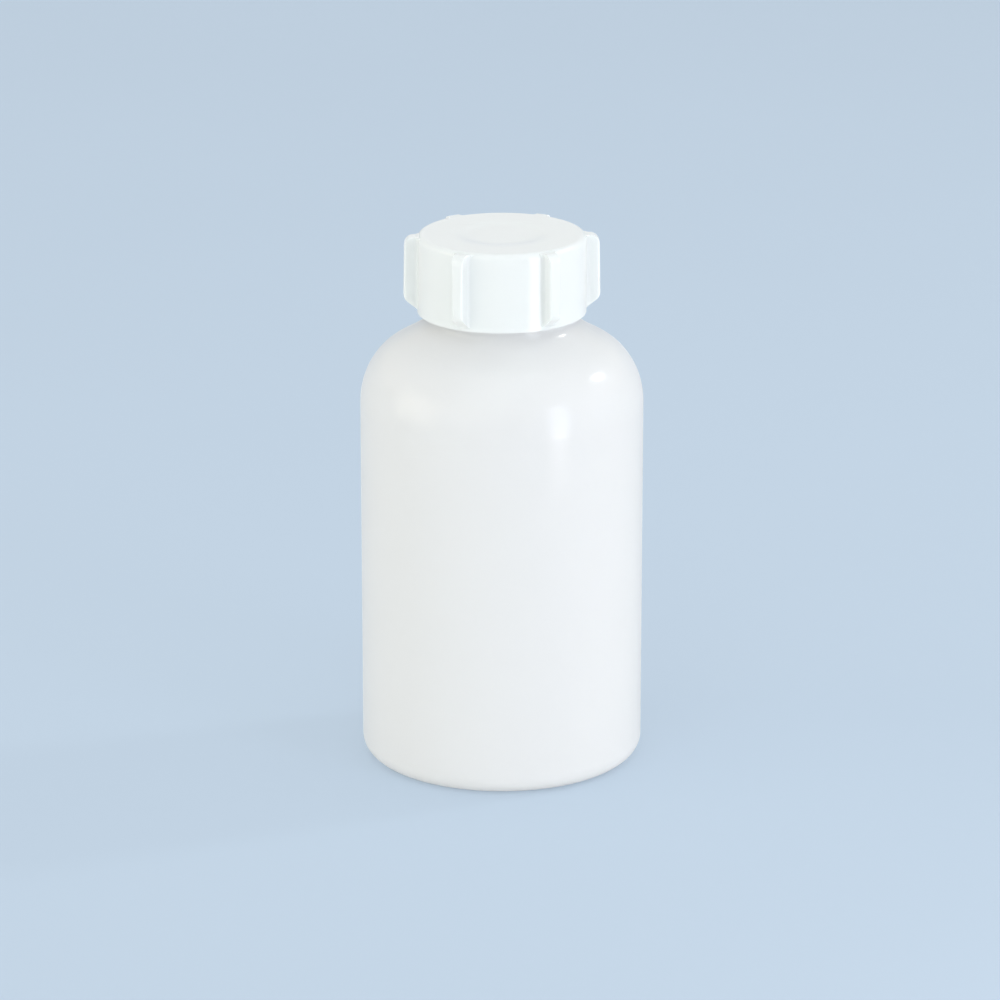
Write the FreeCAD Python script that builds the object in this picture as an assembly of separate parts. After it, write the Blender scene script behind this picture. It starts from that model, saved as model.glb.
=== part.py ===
"""A round wide-mouth bottle with its screw cap and sealing disc, upright, in millimetres, Z up."""

import FreeCAD, Part
import math
import os

# Bottle body, blow-moulded in one piece
body_diameter = 98.0
body_wall = 1.6
wall_top_height = 128.0
shoulder_height = 23.7
shoulder_inner_radius = 28.9
shoulder_dome_angle = 66.0
base_corner_radius = 6.4

# Base: a flat ring to stand on round a shallow dome, with the mould's pinch line across it
foot_ring_width = 3.6
dome_height = 4.0
base_wall = 2.0
pinch_length = 52.0
pinch_width = 1.4
pinch_depth = 0.6
pinch_root = 1.0

# Neck and mouth
neck_radius = 26.2
neck_length = 32.3
neck_sweep_rise = 6.8
rim_edge = 0.4

# Thread, right-handed, on the neck and inside the cap
thread_pitch = 6.0
thread_depth = 1.2
thread_root_width = 2.6
thread_crest_width = 1.0
thread_start_below_mouth = 16.0
neck_thread_turns = 1.75
cap_thread_turns = 1.5
thread_fade_angle = 40.0
thread_embed = 0.5
thread_end_sink = 0.25
thread_sections_per_turn = 18

# Clearances between the cap and the neck
thread_side_clearance = 0.5
thread_tip_clearance = 0.3

# Sealing disc under the cap's top
disc_thickness = 1.6
disc_side_clearance = 0.5

# Screw cap, injection-moulded in one piece
skirt_wall = 1.4
skirt_height = 27.4
cap_top_thickness = 2.2
cap_edge_radius = 2.0
cap_inner_corner = 0.3
skirt_lead_in = 0.6
skirt_lead_height = 1.2
recess_radius = 14.0
recess_depth = 0.6
recess_rim_width = 8.0

# Grip lugs round the cap
lug_count = 6
first_lug_angle = 2.9
lug_width = 4.2
lug_reach = 4.75
lug_draft = 0.3
lug_top_drop = 0.5
lug_top_radius = 3.1
lug_corner_radius = 1.1
lug_root_radius = 1.3
lug_bevel_height = 5.4
lug_bevel_run = 3.5
lug_bevel_slope = 0.8
lug_bottom_gap = 1.2
lug_root_depth = 1.0
lug_blank_spare = 1.0

# Derived sizes
body_radius = body_diameter / 2
neck_bore_radius = neck_radius - body_wall
shoulder_top_height = wall_top_height + shoulder_height
mouth_height = shoulder_top_height + neck_length
neck_foot = shoulder_top_height + neck_sweep_rise
cap_inner_radius = neck_radius + thread_depth + thread_tip_clearance
cap_outer_radius = cap_inner_radius + skirt_wall
ceiling_height = mouth_height + disc_thickness
cap_top_height = ceiling_height + cap_top_thickness
skirt_bottom_height = cap_top_height - skirt_height
disc_radius = cap_inner_radius - cap_inner_corner - disc_side_clearance
neck_thread_start = mouth_height - thread_start_below_mouth
thread_mid_width = (thread_root_width + thread_crest_width) / 2
cap_thread_drop = thread_mid_width + thread_side_clearance
axis = FreeCAD.Vector(0, 0, 1)
centre = FreeCAD.Vector(0, 0, 0)


def point(radius, height):
    """A point of a half section, in the plane of X and Z."""
    return FreeCAD.Vector(radius, 0, height)


def line(start, end):
    return Part.LineSegment(start, end).toShape()


def bend(start, corner, end, weight):
    """A curve whose tangents at its ends meet at the corner. The weight says how near the corner it comes."""
    curve = Part.BezierCurve()
    curve.setPoles([start, corner, end])
    curve.setWeight(2, weight)
    return curve.toShape()


def quarter(start, corner, end):
    """A quarter of a circle or ellipse from start to end, rounding off the corner where its tangents meet."""
    return bend(start, corner, end, math.sqrt(0.5))


def shoulder(wall_radius, crown_height, throat_radius):
    """The shoulder's dome, an arc of an ellipse from the wall's top, and the hollow sweep up to the neck."""
    turned = math.radians(shoulder_dome_angle)
    across = wall_radius - shoulder_inner_radius
    rise = crown_height - wall_top_height
    wall_top = point(wall_radius, wall_top_height)
    corner = point(wall_radius, wall_top_height + rise * math.tan(turned / 2))
    dome_end_radius = shoulder_inner_radius + across * math.cos(turned)
    dome_end = point(dome_end_radius, wall_top_height + rise * math.sin(turned))
    slope = rise * math.cos(turned) / (across * math.sin(turned))
    meeting = point(throat_radius, dome_end.z + (dome_end_radius - throat_radius) * slope)
    return [
        bend(wall_top, corner, dome_end, math.cos(turned / 2)),
        bend(dome_end, meeting, point(throat_radius, neck_foot), 1),
    ]


def revolve(edges):
    """The solid that a closed half section sweeps round the axis."""
    outline = Part.Wire(Part.__sortEdges__(edges))
    return Part.Face(outline).revolve(centre, axis, 360)


def dome_arc(reach, rise, foot):
    """A shallow arc from the axis at the height foot + rise, down to the given reach at the height foot."""
    sphere = (reach**2 + rise**2) / (2 * rise)
    half = reach / 2
    middle = point(half, foot + rise - sphere + math.sqrt(sphere**2 - half**2))
    return Part.Arc(point(0, foot + rise), middle, point(reach, foot)).toShape()


def body_shell():
    """The wall of the bottle from the base to the mouth, as one revolved section."""
    foot_outer = body_radius - base_corner_radius
    foot_inner = foot_outer - foot_ring_width
    inner_radius = body_radius - body_wall
    inner_corner_top = base_wall + base_corner_radius - body_wall
    edge = rim_edge
    outside = [
        dome_arc(foot_inner, dome_height, 0),
        line(point(foot_inner, 0), point(foot_outer, 0)),
        quarter(point(foot_outer, 0), point(body_radius, 0), point(body_radius, base_corner_radius)),
        line(point(body_radius, base_corner_radius), point(body_radius, wall_top_height)),
        *shoulder(body_radius, shoulder_top_height, neck_radius),
        line(point(neck_radius, neck_foot), point(neck_radius, mouth_height - edge)),
    ]
    rim = [
        line(point(neck_radius, mouth_height - edge), point(neck_radius - edge, mouth_height)),
        line(point(neck_radius - edge, mouth_height), point(neck_bore_radius + edge, mouth_height)),
        line(point(neck_bore_radius + edge, mouth_height), point(neck_bore_radius, mouth_height - edge)),
    ]
    inside = [
        line(point(neck_bore_radius, mouth_height - edge), point(neck_bore_radius, neck_foot)),
        *shoulder(inner_radius, shoulder_top_height - body_wall, neck_bore_radius),
        line(point(inner_radius, wall_top_height), point(inner_radius, inner_corner_top)),
        quarter(
            point(inner_radius, inner_corner_top),
            point(inner_radius, base_wall),
            point(foot_outer, base_wall),
        ),
        line(point(foot_outer, base_wall), point(foot_inner, base_wall)),
        dome_arc(foot_inner, dome_height, base_wall),
        line(point(0, base_wall + dome_height), point(0, dome_height)),
    ]
    return revolve(outside + rim + inside)


def pinch_line():
    """The ridge that the closing mould leaves across the dome, hanging a little below it."""
    foot_inner = body_radius - base_corner_radius - foot_ring_width
    band = revolve([
        dome_arc(foot_inner, dome_height, -pinch_depth),
        line(point(foot_inner, -pinch_depth), point(foot_inner, pinch_root)),
        dome_arc(foot_inner, dome_height, pinch_root),
        line(point(0, dome_height + pinch_root), point(0, dome_height - pinch_depth)),
    ])
    tall = dome_height + base_wall
    slot = Part.makeBox(
        pinch_length, pinch_width, tall, FreeCAD.Vector(-pinch_length / 2, -pinch_width / 2, 0)
    )
    return band.common(slot)


def thread_ridge(root_radius, outward, start_height, turns, start_degrees):
    """A thread's ridge on a round wall, standing outward (1) or inward (-1), that fades into it at both ends."""
    count = round(turns * thread_sections_per_turn)
    total = 360.0 * turns
    sections = []
    for i in range(count + 1):
        degrees = total * i / count
        near_end = min(degrees, total - degrees, thread_fade_angle) / thread_fade_angle
        full = math.sin(near_end * math.pi / 2)
        tip = (thread_depth + thread_end_sink) * full - thread_end_sink
        height = start_height + thread_pitch * degrees / 360
        turn = math.radians(start_degrees + degrees)
        foot = root_radius - outward * thread_embed
        crest = root_radius + outward * tip
        slope = (thread_root_width - thread_crest_width) / 2 / thread_depth
        foot_half = thread_crest_width / 2 + slope * (thread_depth + thread_embed)
        crest_half = foot_half - slope * abs(crest - foot)
        corners = [
            (foot, height - foot_half),
            (crest, height - crest_half),
            (crest, height + crest_half),
            (foot, height + foot_half),
        ]
        ring = [FreeCAD.Vector(r * math.cos(turn), r * math.sin(turn), z) for r, z in corners]
        sections.append(Part.makePolygon(ring + ring[:1]))
    return Part.makeLoft(sections, True, False)


def make_bottle():
    thread = thread_ridge(neck_radius, 1, neck_thread_start, neck_thread_turns, 0)
    return body_shell().fuse([thread, pinch_line()]).removeSplitter()


def cap_shell():
    """The cap's skirt and dished top, as one revolved section."""
    edge = cap_edge_radius
    corner = cap_inner_corner
    top = cap_top_height
    low = skirt_bottom_height
    recess = top - recess_depth
    rim_start = recess_radius - recess_rim_width / 2
    rim_end = recess_radius + recess_rim_width / 2
    recess_rim = Part.BezierCurve()
    recess_rim.setPoles([
        point(rim_start, recess), point(recess_radius, recess), point(recess_radius, top), point(rim_end, top),
    ])
    outside = [
        line(point(0, recess), point(rim_start, recess)),
        recess_rim.toShape(),
        line(point(rim_end, top), point(cap_outer_radius - edge, top)),
        quarter(
            point(cap_outer_radius - edge, top), point(cap_outer_radius, top), point(cap_outer_radius, top - edge)
        ),
        line(point(cap_outer_radius, top - edge), point(cap_outer_radius, low)),
    ]
    lead = cap_inner_radius + skirt_lead_in
    lead_end = low + skirt_lead_height
    inside = [
        line(point(cap_outer_radius, low), point(lead, low)),
        line(point(lead, low), point(cap_inner_radius, lead_end)),
        line(point(cap_inner_radius, lead_end), point(cap_inner_radius, ceiling_height - corner)),
        line(point(cap_inner_radius, ceiling_height - corner), point(cap_inner_radius - corner, ceiling_height)),
        line(point(cap_inner_radius - corner, ceiling_height), point(0, ceiling_height)),
        line(point(0, ceiling_height), point(0, recess)),
    ]
    return revolve(outside + inside)


def lug_ring():
    """The ring whose section is a lug's side view: rounded above, bevelled below."""
    reach = cap_outer_radius + lug_reach
    top = cap_top_height - lug_top_drop
    low = skirt_bottom_height + lug_bottom_gap
    bevel_top = low + lug_bevel_height
    bevel_knee = point(cap_outer_radius + lug_bevel_run, low + lug_bevel_run * lug_bevel_slope)
    root = cap_outer_radius - lug_root_depth
    round_start = point(reach - lug_draft, top - lug_top_radius)
    round_end = point(reach - lug_draft - lug_top_radius, top)
    knee_curve = Part.BezierCurve()
    knee_curve.setPoles([
        bevel_knee,
        point(reach, bevel_knee.z + (reach - bevel_knee.x) * lug_bevel_slope),
        point(reach, bevel_top),
    ])
    return revolve([
        line(point(root, low), point(cap_outer_radius, low)),
        line(point(cap_outer_radius, low), bevel_knee),
        knee_curve.toShape(),
        line(point(reach, bevel_top), round_start),
        quarter(round_start, point(round_start.x, round_end.z), round_end),
        line(round_end, point(root, top)),
        line(point(root, top), point(root, low)),
    ])


def lug_plan():
    """One lug seen from above, along +X: rounded outer corners and flared roots, as a tall prism."""
    half = lug_width / 2
    corner = lug_corner_radius
    flare = lug_root_radius
    tip = cap_outer_radius + lug_reach
    far = tip + lug_blank_spare
    root = cap_outer_radius - lug_root_depth
    flare_x = math.sqrt((cap_outer_radius + flare) ** 2 - (half + flare) ** 2)
    touch = cap_outer_radius / (cap_outer_radius + flare)
    touch_x = flare_x * touch
    touch_y = (half + flare) * touch
    bend = math.radians(45)
    side = []
    for sign in (1, -1):
        foot = FreeCAD.Vector(root, sign * touch_y, 0)
        meet = FreeCAD.Vector(touch_x, sign * touch_y, 0)
        flare_mid = FreeCAD.Vector(
            flare_x - flare * math.sin(bend), sign * (half + flare - flare * math.cos(bend)), 0
        )
        flank = FreeCAD.Vector(flare_x, sign * half, 0)
        shoulder = FreeCAD.Vector(tip - corner, sign * half, 0)
        corner_mid = FreeCAD.Vector(
            tip - corner + corner * math.sin(bend), sign * (half - corner + corner * math.cos(bend)), 0
        )
        front = FreeCAD.Vector(tip, sign * (half - corner), 0)
        beyond = FreeCAD.Vector(far, sign * (half - corner), 0)
        side.append((foot, meet, flare_mid, flank, shoulder, corner_mid, front, beyond))
    edges = []
    for foot, meet, flare_mid, flank, shoulder, corner_mid, front, beyond in side:
        edges.append(line(foot, meet))
        edges.append(Part.Arc(meet, flare_mid, flank).toShape())
        edges.append(line(flank, shoulder))
        edges.append(Part.Arc(shoulder, corner_mid, front).toShape())
        edges.append(line(front, beyond))
    edges.append(line(side[0][0], side[1][0]))
    edges.append(line(side[0][7], side[1][7]))
    outline = Part.Wire(Part.__sortEdges__(edges))
    return Part.Face(outline).extrude(FreeCAD.Vector(0, 0, cap_top_height))


def make_screw_cap():
    lug = lug_ring().common(lug_plan())
    lugs = []
    for i in range(lug_count):
        turned = lug.copy()
        turned.rotate(centre, axis, first_lug_angle + 360 * i / lug_count)
        lugs.append(turned)
    overlap = (neck_thread_turns - cap_thread_turns) / 2
    thread = thread_ridge(
        cap_inner_radius,
        -1,
        neck_thread_start - cap_thread_drop + thread_pitch * overlap,
        cap_thread_turns,
        360 * overlap,
    )
    return cap_shell().fuse(lugs + [thread]).removeSplitter()


def make_sealing_disc():
    return Part.makeCylinder(disc_radius, disc_thickness, FreeCAD.Vector(0, 0, mouth_height))


os.makedirs("parts", exist_ok=True)
for node, shape in (
    ("bottle", make_bottle()),
    ("screw_cap", make_screw_cap()),
    ("sealing_disc", make_sealing_disc()),
):
    shape.exportStep("parts/" + node + ".step")
    print(node, shape.ShapeType, "solids", len(shape.Solids), "valid", shape.isValid(), "cm3", shape.Volume / 1000)
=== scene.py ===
"""Looks of a wide-mouth bottle: a milky wall, a whiter moulded cap and a pale blue studio sweep."""

import math

import bmesh
import bpy
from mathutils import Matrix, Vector

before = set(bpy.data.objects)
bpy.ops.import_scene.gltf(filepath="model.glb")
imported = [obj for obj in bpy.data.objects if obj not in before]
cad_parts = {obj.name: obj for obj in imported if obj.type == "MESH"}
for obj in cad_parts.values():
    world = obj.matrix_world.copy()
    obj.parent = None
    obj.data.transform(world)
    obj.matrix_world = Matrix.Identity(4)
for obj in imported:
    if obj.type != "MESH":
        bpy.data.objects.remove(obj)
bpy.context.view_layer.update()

# Lengths are in metres, angles in degrees unless they are converted here, and colours are linear.

# Camera, as the photograph was taken. The aim is a point on the bottle's axis, and AIM_COLUMN and
# AIM_ROW are the pixel of the picture where it shows.
AIM_HEIGHT = 0.0906
CAMERA_DISTANCE = 1.7425
CAMERA_PITCH = math.radians(18.07)
CAMERA_REACH = 20.0
LENS = 180.0
SENSOR = 36.0
AIM_COLUMN = 501.9
AIM_ROW = 502.9
PICTURE = 1000

# Sweep under and behind the bottle: a round floor, a curved rim and a low wall
SWEEP_FLOOR = 3.2
SWEEP_MIDDLE = 1.6
SWEEP_CURVE = 0.5
SWEEP_CURVE_STEPS = 12
SWEEP_HEIGHT = 0.9
SWEEP_SPOKES = 96
MERGE_DISTANCE = 1e-5

# Sweep's colour: as it is seen, as it lights the bottle, how unevenly it is dyed and how much of it glows
SWEEP_BLUE = (0.539, 0.645, 0.761)
SWEEP_BOUNCE = (0.92, 0.92, 0.91)
SWEEP_UNEVENNESS = 0.015
SWEEP_GLOW = 0.55

# Lamps: name, bearing from the camera towards its right, height angle, distance, width, height, watts
# and colour
LAMPS = (
    ("key", 46.5, 11, 1.3, 0.40, 0.70, 3.0, (0.78, 0.85, 1.0)),
    ("low", 44.5, -5.5, 0.42, 0.10, 0.07, 0.12, (1.0, 0.94, 0.97)),
    ("side", 110, 35, 1.4, 0.13, 0.13, 2.6, (0.97, 1.0, 0.97)),
    ("front_left", -35, 14, 2.2, 1.20, 1.20, 2.2, (0.93, 0.97, 1.0)),
    ("left", -75, 8, 2.0, 1.40, 1.40, 8.8, (1.0, 0.93, 0.76)),
    ("right", 85, 10, 2.0, 1.40, 1.40, 2.0, (0.86, 0.84, 1.0)),
    ("high", -12, 48, 2.0, 1.20, 1.20, 3.7, (0.84, 0.96, 1.0)),
    ("top", 0, 85, 2.0, 1.60, 1.60, 3.3, (0.82, 0.94, 1.0)),
)
SKY_COLOUR = (1.0, 1.0, 1.0)
SKY_STRENGTH = 0.80

# Noises: size as Blender's Scale, detail and roughness
SWEEP_CLOUDS = {"Scale": 3.0, "Detail": 2.0}
PLASTIC_CLOUDS = {"Scale": 18.0, "Detail": 3.0, "Roughness": 0.55}
DULL_PATCHES = {"Scale": 55.0, "Detail": 4.0, "Roughness": 0.6}
SLOW_WAVES = {"Scale": 26.0, "Detail": 2.0}
PORES = {"Scale": 1400.0, "Detail": 2.0}
WAVE_STRETCH = (1.0, 1.0, 0.25)

# What the plastics have in common: how far the roughness varies, and the haze at their edges
POLYETHYLENE_IOR = 1.51
ROUGHNESS_VARIATION = 0.06
SHEEN = 0.8
SHEEN_SPREAD = 0.35
EVEN_REACH = (1.0, 1.0, 1.0)

# Plastics. "glow" is the share that lets light through without showing what is behind it, "see" the
# share that shows it, "milk" the share of light that spreads inside, and "reach" how far it spreads.
# "grain" and "wave" are the heights of the fine and the slow bumps.
BOTTLE_PLASTIC = {
    "name": "natural_ldpe", "colour": (0.968, 0.978, 0.975), "shade": (0.955, 0.968, 0.965),
    "roughness": 0.18, "grain": 0.000008, "wave": 0.0003,
    "glow": 0.18, "see": 0.06, "milk": 0.5, "reach": 0.003,
}
CAP_PLASTIC = {
    "name": "white_polyethylene", "colour": (0.885, 0.922, 0.915), "shade": (0.87, 0.907, 0.90),
    "roughness": 0.18, "grain": 0.000008, "wave": 0.0001,
    "glow": 0.10, "see": 0.0, "milk": 0.7, "reach": 0.001,
}
DISC_FOAM = {
    "name": "foamed_polyethylene", "colour": (0.93, 0.93, 0.91), "shade": (0.90, 0.90, 0.88),
    "roughness": 0.65, "grain": 0.00003, "wave": 0.0001,
    "glow": 0.10, "see": 0.0, "milk": 0.0, "reach": 0.001,
}


def direction(bearing, height_angle):
    """The unit vector at a bearing to the right of the camera's side, and a height angle, in degrees."""
    b = math.radians(bearing)
    h = math.radians(height_angle)
    return Vector((math.sin(b) * math.cos(h), -math.cos(b) * math.cos(h), math.sin(h)))


def place(thing, towards, distance):
    """Puts a camera or lamp at a distance from the aim, facing the aim."""
    thing.location = Vector((0, 0, AIM_HEIGHT)) + distance * towards
    thing.rotation_euler = towards.to_track_quat("Z", "Y").to_euler()
    bpy.context.scene.collection.objects.link(thing)


def make_camera():
    data = bpy.data.cameras.new("camera")
    data.lens = LENS
    data.sensor_width = SENSOR
    data.shift_x = (PICTURE / 2 - AIM_COLUMN) / PICTURE
    data.shift_y = (AIM_ROW - PICTURE / 2) / PICTURE
    data.clip_end = CAMERA_REACH
    camera = bpy.data.objects.new("camera", data)
    towards = Vector((0, -math.cos(CAMERA_PITCH), math.sin(CAMERA_PITCH)))
    place(camera, towards, CAMERA_DISTANCE)
    bpy.context.scene.camera = camera


def make_lamps():
    for name, bearing, height_angle, distance, width, height, watts, colour in LAMPS:
        data = bpy.data.lights.new(name, "AREA")
        data.shape = "RECTANGLE"
        data.size = width
        data.size_y = height
        data.energy = watts
        data.color = colour
        lamp = bpy.data.objects.new(name, data)
        lamp.visible_camera = False
        place(lamp, direction(bearing, height_angle), distance)


def make_sky():
    world = bpy.data.worlds.new("sky")
    world.use_nodes = True
    background = world.node_tree.nodes["Background"]
    background.inputs["Color"].default_value = (*SKY_COLOUR, 1)
    background.inputs["Strength"].default_value = SKY_STRENGTH
    bpy.context.scene.world = world


def tree_of(name):
    """A new node material, and two functions: one adds a node, one links two sockets."""
    material = bpy.data.materials.new(name)
    material.use_nodes = True
    tree = material.node_tree
    tree.nodes.clear()

    def node(kind, **values):
        made = tree.nodes.new(kind)
        for key, value in values.items():
            if key in made.inputs:
                made.inputs[key].default_value = value
            else:
                setattr(made, key, value)
        return made

    return material, node, tree.links.new


def sweep_material():
    """Pale blue to the eye, and in gloss and glass. The light that it sends to the bottle is near white."""
    material, node, link = tree_of("sweep")
    spot = node("ShaderNodeTexCoord")
    clouds = node("ShaderNodeTexNoise", **SWEEP_CLOUDS)
    link(spot.outputs["Object"], clouds.inputs["Vector"])
    tint = node("ShaderNodeMix", data_type="RGBA")
    tint.inputs["A"].default_value = (*(c * (1 - SWEEP_UNEVENNESS) for c in SWEEP_BLUE), 1)
    tint.inputs["B"].default_value = (*(c * (1 + SWEEP_UNEVENNESS) for c in SWEEP_BLUE), 1)
    link(clouds.outputs["Fac"], tint.inputs["Factor"])

    rays = node("ShaderNodeLightPath")
    direct = node("ShaderNodeMath", operation="MAXIMUM")
    link(rays.outputs["Is Camera Ray"], direct.inputs[0])
    link(rays.outputs["Is Glossy Ray"], direct.inputs[1])
    seen = node("ShaderNodeMath", operation="MAXIMUM")
    link(direct.outputs[0], seen.inputs[0])
    link(rays.outputs["Is Transmission Ray"], seen.inputs[1])
    shown = node("ShaderNodeMix", data_type="RGBA")
    shown.inputs["A"].default_value = (*SWEEP_BOUNCE, 1)
    link(seen.outputs[0], shown.inputs["Factor"])
    link(tint.outputs["Result"], shown.inputs["B"])

    paper = node("ShaderNodeBsdfDiffuse")
    glow = node("ShaderNodeEmission")
    link(shown.outputs["Result"], paper.inputs["Color"])
    link(tint.outputs["Result"], glow.inputs["Color"])
    share = node("ShaderNodeMath", operation="MULTIPLY")
    share.inputs[1].default_value = SWEEP_GLOW
    link(seen.outputs[0], share.inputs[0])
    mix = node("ShaderNodeMixShader")
    link(share.outputs[0], mix.inputs[0])
    link(paper.outputs[0], mix.inputs[1])
    link(glow.outputs[0], mix.inputs[2])
    out = node("ShaderNodeOutputMaterial")
    link(mix.outputs[0], out.inputs["Surface"])
    return material


def sweep_profile():
    """Radius and height along the sweep, from the middle of the floor outwards and up the wall."""
    points = [(0.0, 0.0), (SWEEP_MIDDLE, 0.0), (SWEEP_FLOOR, 0.0)]
    for step in range(1, SWEEP_CURVE_STEPS + 1):
        turn = math.pi / 2 * step / SWEEP_CURVE_STEPS
        radius = SWEEP_FLOOR + SWEEP_CURVE * math.sin(turn)
        points.append((radius, SWEEP_CURVE * (1 - math.cos(turn))))
    points.append((SWEEP_FLOOR + SWEEP_CURVE, SWEEP_HEIGHT))
    return points


def make_sweep():
    """A round floor whose rim curves up into a low wall, so that every side view has the same backdrop."""
    shape = bmesh.new()
    points = [shape.verts.new((radius, 0, height)) for radius, height in sweep_profile()]
    edges = [shape.edges.new(pair) for pair in zip(points, points[1:])]
    bmesh.ops.spin(
        shape, geom=points + edges, cent=(0, 0, 0), axis=(0, 0, 1),
        angle=math.tau, steps=SWEEP_SPOKES, use_merge=True,
    )
    bmesh.ops.remove_doubles(shape, verts=shape.verts, dist=MERGE_DISTANCE)
    bmesh.ops.recalc_face_normals(shape, faces=shape.faces)
    for face in shape.faces:
        face.smooth = True
    mesh = bpy.data.meshes.new("sweep")
    shape.to_mesh(mesh)
    shape.free()
    mesh.materials.append(sweep_material())
    sweep = bpy.data.objects.new("sweep", mesh)
    bpy.context.scene.collection.objects.link(sweep)


def plastic(name, colour, shade, roughness, glow, see, milk, reach, grain, wave):
    """Moulded polyethylene: cloudy colour, light spread inside it, satin gloss, fine grain and slow waves."""
    material, node, link = tree_of(name)
    where = node("ShaderNodeTexCoord").outputs["Object"]

    clouds = node("ShaderNodeTexNoise", **PLASTIC_CLOUDS)
    link(where, clouds.inputs["Vector"])
    tone = node("ShaderNodeMix", data_type="RGBA")
    tone.inputs["A"].default_value = (*shade, 1)
    tone.inputs["B"].default_value = (*colour, 1)
    link(clouds.outputs["Fac"], tone.inputs["Factor"])

    patches = node("ShaderNodeTexNoise", **DULL_PATCHES)
    link(where, patches.inputs["Vector"])
    gloss = node("ShaderNodeMapRange")
    gloss.inputs["To Min"].default_value = roughness - ROUGHNESS_VARIATION
    gloss.inputs["To Max"].default_value = roughness + ROUGHNESS_VARIATION
    link(patches.outputs["Fac"], gloss.inputs["Value"])

    stretch = node("ShaderNodeMapping")
    stretch.inputs["Scale"].default_value = WAVE_STRETCH
    link(where, stretch.inputs["Vector"])
    waves = node("ShaderNodeTexNoise", **SLOW_WAVES)
    link(stretch.outputs["Vector"], waves.inputs["Vector"])
    pores = node("ShaderNodeTexNoise", **PORES)
    link(where, pores.inputs["Vector"])
    slow = node("ShaderNodeBump", Strength=1.0, Distance=wave)
    fine = node("ShaderNodeBump", Strength=1.0, Distance=grain)
    link(waves.outputs["Fac"], slow.inputs["Height"])
    link(pores.outputs["Fac"], fine.inputs["Height"])
    link(slow.outputs["Normal"], fine.inputs["Normal"])

    skin = node("ShaderNodeBsdfPrincipled")
    link(tone.outputs["Result"], skin.inputs["Base Color"])
    link(gloss.outputs["Result"], skin.inputs["Roughness"])
    link(fine.outputs["Normal"], skin.inputs["Normal"])
    skin.inputs["IOR"].default_value = POLYETHYLENE_IOR
    skin.inputs["Transmission Weight"].default_value = see
    skin.inputs["Subsurface Weight"].default_value = milk
    skin.inputs["Subsurface Radius"].default_value = EVEN_REACH
    skin.inputs["Subsurface Scale"].default_value = reach
    skin.inputs["Sheen Weight"].default_value = SHEEN
    skin.inputs["Sheen Roughness"].default_value = SHEEN_SPREAD
    through = node("ShaderNodeBsdfTranslucent")
    link(tone.outputs["Result"], through.inputs["Color"])
    mix = node("ShaderNodeMixShader")
    mix.inputs[0].default_value = glow
    link(skin.outputs[0], mix.inputs[1])
    link(through.outputs[0], mix.inputs[2])
    out = node("ShaderNodeOutputMaterial")
    link(mix.outputs[0], out.inputs["Surface"])
    return material


def dress(node_name, material):
    """Gives a CAD node's object its material, in the slots that it has."""
    node_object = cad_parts[node_name]
    for slot in node_object.material_slots:
        slot.material = material
    if not node_object.material_slots:
        node_object.data.materials.append(material)


make_camera()
make_lamps()
make_sky()
make_sweep()
dress("bottle", plastic(**BOTTLE_PLASTIC))
dress("screw_cap", plastic(**CAP_PLASTIC))
dress("sealing_disc", plastic(**DISC_FOAM))
bpy.context.scene.view_settings.view_transform = "Standard"
